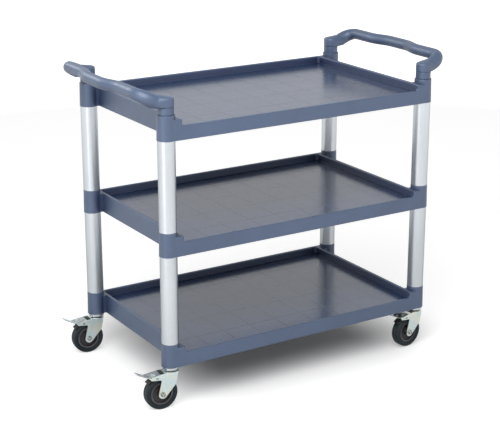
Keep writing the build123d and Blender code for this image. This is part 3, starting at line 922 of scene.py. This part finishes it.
class TROLLEY_OT_handles(bpy.types.Operator):
    """Moulds the two push handles"""

    bl_idname = "trolley.handles"
    bl_label = "Handles"

    def execute(self, context):
        scene = context.scene
        colours, finish = scene.trolley_colours, scene.trolley_finish
        plastic = moulded_plastic("handle_plastic", colours, finish, with_deck=False)
        for node, side in (("left_handle", -1.0), ("right_handle", 1.0)):
            mesh = handle_mesh(node, scene.trolley_handle, side)
            mesh.materials.append(plastic)
            piece = bpy.data.objects.new(f"{node}_moulded", mesh)
            scene.collection.objects.link(piece)
            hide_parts(node)
            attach(piece, "cart")
        return {"FINISHED"}


class TROLLEY_OT_tubes(bpy.types.Operator):
    """Finishes the aluminium tubes, and the plugs and sockets inside the collars"""

    bl_idname = "trolley.tubes"
    bl_label = "Tubes"

    def execute(self, context):
        scene = context.scene
        colours = scene.trolley_colours
        names = [f"{storey}_tube_{corner}" for storey in ("lower", "upper") for corner in CORNERS]
        dress(names, drawn_aluminium(colours, scene.trolley_finish))
        dress(["tube_plugs", "stem_sockets"], rubber("plug_plastic", colours.plug, colours.tyre_dust))
        return {"FINISHED"}


class TROLLEY_OT_tyres(bpy.types.Operator):
    """Turns the tyres, with their beads, shoulders and grooved treads"""

    bl_idname = "trolley.tyres"
    bl_label = "Tyres"

    def execute(self, context):
        wheels = context.scene.trolley_wheels
        mesh = turned_mesh("tyre", both_sides(tyre_outline(wheels)), TYRE_FACETS)
        material = tyre_rubber(context.scene.trolley_colours, context.scene.trolley_finish, wheels)
        for corner in CORNERS:
            stand_in(corner, "tyre", mesh, material, "wheel", "wheel_roll")
        return {"FINISHED"}


class TROLLEY_OT_wheel_centres(bpy.types.Operator):
    """Turns the wheel centres, with their hubs, webs and rims"""

    bl_idname = "trolley.wheel_centres"
    bl_label = "Wheel centres"

    def execute(self, context):
        wheels = context.scene.trolley_wheels
        mesh = turned_mesh("wheel_centre", both_sides(wheel_outline(wheels)), WHEEL_FACETS)
        material = wheel_plastic(context.scene.trolley_colours, wheels)
        for corner in CORNERS:
            stand_in(corner, "wheel_centre", mesh, material, "wheel", "wheel_roll")
        return {"FINISHED"}


class TROLLEY_OT_fasteners(bpy.types.Operator):
    """Makes the axle bolts, their nuts and the brake pins, and finishes the axle sleeves"""

    bl_idname = "trolley.fasteners"
    bl_label = "Fasteners"

    def execute(self, context):
        wheels, colours = context.scene.trolley_wheels, context.scene.trolley_colours
        steel = plated_steel(
            "bright_fasteners", colours.bolt, colours.zinc_tint, roughness=0.28, cloud_size=0.004
        )
        parts = {
            "axle_bolt": (bolt_mesh(wheels), "wheel_roll"),
            "axle_nut": (nut_mesh(wheels), "wheel_roll"),
            "brake_pin": (pin_mesh(wheels), "brake_press"),
        }
        for part, (mesh, joint) in parts.items():
            for corner in CORNERS:
                stand_in(corner, part, mesh, steel, "swivel", joint)
        dress(at_corners("axle_sleeve"), steel)
        return {"FINISHED"}


class TROLLEY_OT_forks(bpy.types.Operator):
    """Finishes the pressed forks"""

    bl_idname = "trolley.forks"
    bl_label = "Forks"

    def execute(self, context):
        colours = context.scene.trolley_colours
        zinc = plated_steel("zinc_sheet", colours.zinc, colours.zinc_tint, roughness=0.34, cloud_size=0.022)
        dress(at_corners("fork"), zinc)
        return {"FINISHED"}


class TROLLEY_OT_bearings(bpy.types.Operator):
    """Finishes the bearing cups with their stems, and the balls"""

    bl_idname = "trolley.bearings"
    bl_label = "Bearings"

    def execute(self, context):
        colours = context.scene.trolley_colours
        chrome = plated_steel(
            "bright_plating", colours.chrome, colours.chrome, roughness=0.13, cloud_size=0.012
        )
        dress(at_corners("stem"), chrome)
        balls = plated_steel("ball_steel", colours.steel, colours.chrome, roughness=0.16, cloud_size=0.003)
        dress(at_corners("bearing_balls"), balls)
        return {"FINISHED"}


class TROLLEY_OT_brakes(bpy.types.Operator):
    """Finishes the brake pedals and shoes"""

    bl_idname = "trolley.brakes"
    bl_label = "Brakes"

    def execute(self, context):
        colours = context.scene.trolley_colours
        sheet = plated_steel("pedal_steel", colours.steel, colours.zinc, roughness=0.26, cloud_size=0.012)
        dress(at_corners("brake_pedal"), sheet)
        dress(at_corners("brake_shoe"), rubber("shoe_rubber", colours.shoe, colours.tyre_dust))
        return {"FINISHED"}


# Studio round the trolley


def area_lamp(name, place, target, size, watts):
    """A soft rectangular lamp that looks at a point."""
    lamp = bpy.data.lights.new(name, "AREA")
    lamp.shape = "RECTANGLE"
    lamp.size, lamp.size_y = size
    lamp.energy = watts
    holder = bpy.data.objects.new(name, lamp)
    holder.location = place
    holder.rotation_euler = (Vector(target) - Vector(place)).to_track_quat("-Z", "Y").to_euler()
    bpy.context.scene.collection.objects.link(holder)
    return holder


def seen_rays(tree, mirror_level):
    """One for the camera and glass, a given level in gloss, and nothing for light that falls on things."""
    rays = add_node(tree, "ShaderNodeLightPath").outputs
    glossy = sums(tree, "MULTIPLY", rays["Is Glossy Ray"], mirror_level)
    seen = sums(tree, "MAXIMUM", rays["Is Camera Ray"], glossy)
    return sums(tree, "MAXIMUM", seen, rays["Is Transmission Ray"])


class TROLLEY_OT_stage(bpy.types.Operator):
    """Sets the floor, the lamps, the sky and the camera"""

    bl_idname = "trolley.stage"
    bl_label = "Stage"

    def execute(self, context):
        scene = context.scene
        stage = scene.trolley_stage
        scene.view_settings.view_transform = "Standard"
        self.floor(scene, stage)
        low, high = CAD_BOX
        middle = (low + high) / 2
        area_lamp("key_lamp", KEY_PLACE, middle, KEY_SIZE, stage.key_power)
        strip = area_lamp("strip_lamp", STRIP_PLACE, middle, STRIP_SIZE, stage.strip_power)
        back = area_lamp("back_lamp", BACK_PLACE, middle, BACK_SIZE, stage.back_power)
        for lamp in (strip, back):
            lamp.visible_diffuse = lamp.visible_camera = False
        self.sky(scene, stage)
        self.camera(scene, stage)
        return {"FINISHED"}

    def floor(self, scene, stage):
        """A wide floor that keeps the rendered shadow and fades to white, with painted light: its glow is held
        back in a rectangle round the trolley, which paints the shadow's shape and lifts its core, and in gloss it
        glows less near the trolley, which paints darker reflections low on the trolley.
        """
        bpy.ops.mesh.primitive_plane_add(size=FLOOR_SIZE)
        floor = bpy.context.object
        floor.name = "floor"
        material, shader = new_material("floor_paper")
        tree = material.node_tree
        place = place_on(tree)
        cloud_size, whitening_start, whitening_end = 0.5, 1.5, 4.0
        mirror_reach, mirror_near, mirror_far = 2.6, 0.28, 1.1
        cloud = ramp(tree, noise(tree, place, cloud_size), 0.0, 1.0, 0.995, 1.005)
        paper = shade(tree, scene.trolley_colours.floor, cloud)
        # Painted shadow: distance from a rectangle round the trolley, inside which the floor hardly glows
        reach = []
        for along, middle, size in zip(parts_of(tree, place), stage.shadow_middle, stage.shadow_size):
            off = sums(tree, "ABSOLUTE", sums(tree, "SUBTRACT", along, middle))
            reach.append(sums(tree, "MAXIMUM", sums(tree, "SUBTRACT", off, size / 2)))
        away = sums(tree, "SQRT", sums(tree, "ADD", *(sums(tree, "POWER", side, 2.0) for side in reach)))
        glow = ramp(tree, away, 0.0, stage.shadow_fade, stage.shadow_core, stage.floor_glow)
        glow = sums(tree, "MAXIMUM", glow, ramp(tree, away, whitening_start, whitening_end))
        # Painted reflection: in gloss the floor glows less near the trolley, so the trolley's lower parts mirror
        # it darker
        mirrored = ramp(tree, away, 0.0, mirror_reach, mirror_near, mirror_far)
        seen = seen_rays(tree, mirrored)
        link(tree, shader, Base_Color=paper, Emission_Strength=sums(tree, "MULTIPLY", seen, glow))
        shader.inputs["Emission Color"].default_value = (1.0, 1.0, 1.0, 1.0)
        shader.inputs["Roughness"].default_value = 1.0
        shader.inputs["Specular IOR Level"].default_value = 0.0
        floor.data.materials.append(material)

    def sky(self, scene, stage):
        """Even light, seen as white behind the trolley and greyer in its bright metal."""
        world = bpy.data.worlds.new("studio")
        world.use_nodes = True
        scene.world = world
        tree = world.node_tree
        light = tree.nodes["Background"]
        light.inputs["Color"].default_value = (1.0, 1.0, 1.0, 1.0)
        rise = parts_of(tree, add_node(tree, "ShaderNodeTexCoord").outputs["Generated"])[2]
        ceiling_start, ceiling_end = 0.35, 0.85
        ceiling = ramp(tree, rise, ceiling_start, ceiling_end, 1.0, stage.ceiling_level)
        mirrored = sums(tree, "MULTIPLY", ceiling, stage.mirror_level)
        strength = ramp(tree, seen_rays(tree, mirrored), 0.0, 1.0, stage.sky_strength, 1.0)
        tree.links.new(strength, light.inputs["Strength"])

    def camera(self, scene, stage):
        """The camera, higher than the handles and to the left of the front."""
        lens = bpy.data.cameras.new("camera")
        lens.sensor_width = SENSOR_WIDTH
        lens.lens = stage.focal_length
        camera = bpy.data.objects.new("camera", lens)
        azimuth, elevation = stage.camera_azimuth, stage.camera_elevation
        level = math.cos(elevation)
        back = Vector((math.sin(azimuth) * level, -math.cos(azimuth) * level, math.sin(elevation)))
        camera.location = stage.camera_place
        camera.rotation_euler = (-back).to_track_quat("-Z", "Y").to_euler()
        scene.collection.objects.link(camera)
        scene.camera = camera


OPERATORS = (
    TROLLEY_OT_trays,
    TROLLEY_OT_handles,
    TROLLEY_OT_tubes,
    TROLLEY_OT_tyres,
    TROLLEY_OT_wheel_centres,
    TROLLEY_OT_fasteners,
    TROLLEY_OT_forks,
    TROLLEY_OT_bearings,
    TROLLEY_OT_brakes,
    TROLLEY_OT_stage,
)


class TROLLEY_PT_panel(bpy.types.Panel):
    """Lists the trolley's pieces"""

    bl_label = "Serving Trolley"
    bl_idname = "TROLLEY_PT_panel"
    bl_space_type = "VIEW_3D"
    bl_region_type = "UI"
    bl_category = "Trolley"

    def draw(self, context):
        for operator in OPERATORS:
            self.layout.operator(operator.bl_idname)


GROUPS = {
    "trolley_colours": TrolleyColours,
    "trolley_finish": TrolleyFinish,
    "trolley_handle": TrolleyHandle,
    "trolley_wheels": TrolleyWheels,
    "trolley_stage": TrolleyStage,
}


def register():
    """Adds the classes to Blender and the settings to its scenes."""
    for group in (*GROUPS.values(), *OPERATORS, TROLLEY_PT_panel):
        bpy.utils.register_class(group)
    for name, group in GROUPS.items():
        setattr(bpy.types.Scene, name, PointerProperty(type=group))


def unregister():
    """Takes the settings and the classes out again."""
    for name in GROUPS:
        delattr(bpy.types.Scene, name)
    for group in reversed((*GROUPS.values(), *OPERATORS, TROLLEY_PT_panel)):
        bpy.utils.unregister_class(group)


def main():
    """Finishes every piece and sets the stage."""
    register()
    bpy.ops.trolley.trays()
    bpy.ops.trolley.handles()
    bpy.ops.trolley.tubes()
    bpy.ops.trolley.tyres()
    bpy.ops.trolley.wheel_centres()
    bpy.ops.trolley.fasteners()
    bpy.ops.trolley.forks()
    bpy.ops.trolley.bearings()
    bpy.ops.trolley.brakes()
    bpy.ops.trolley.stage()


if __name__ == "__main__":
    main()
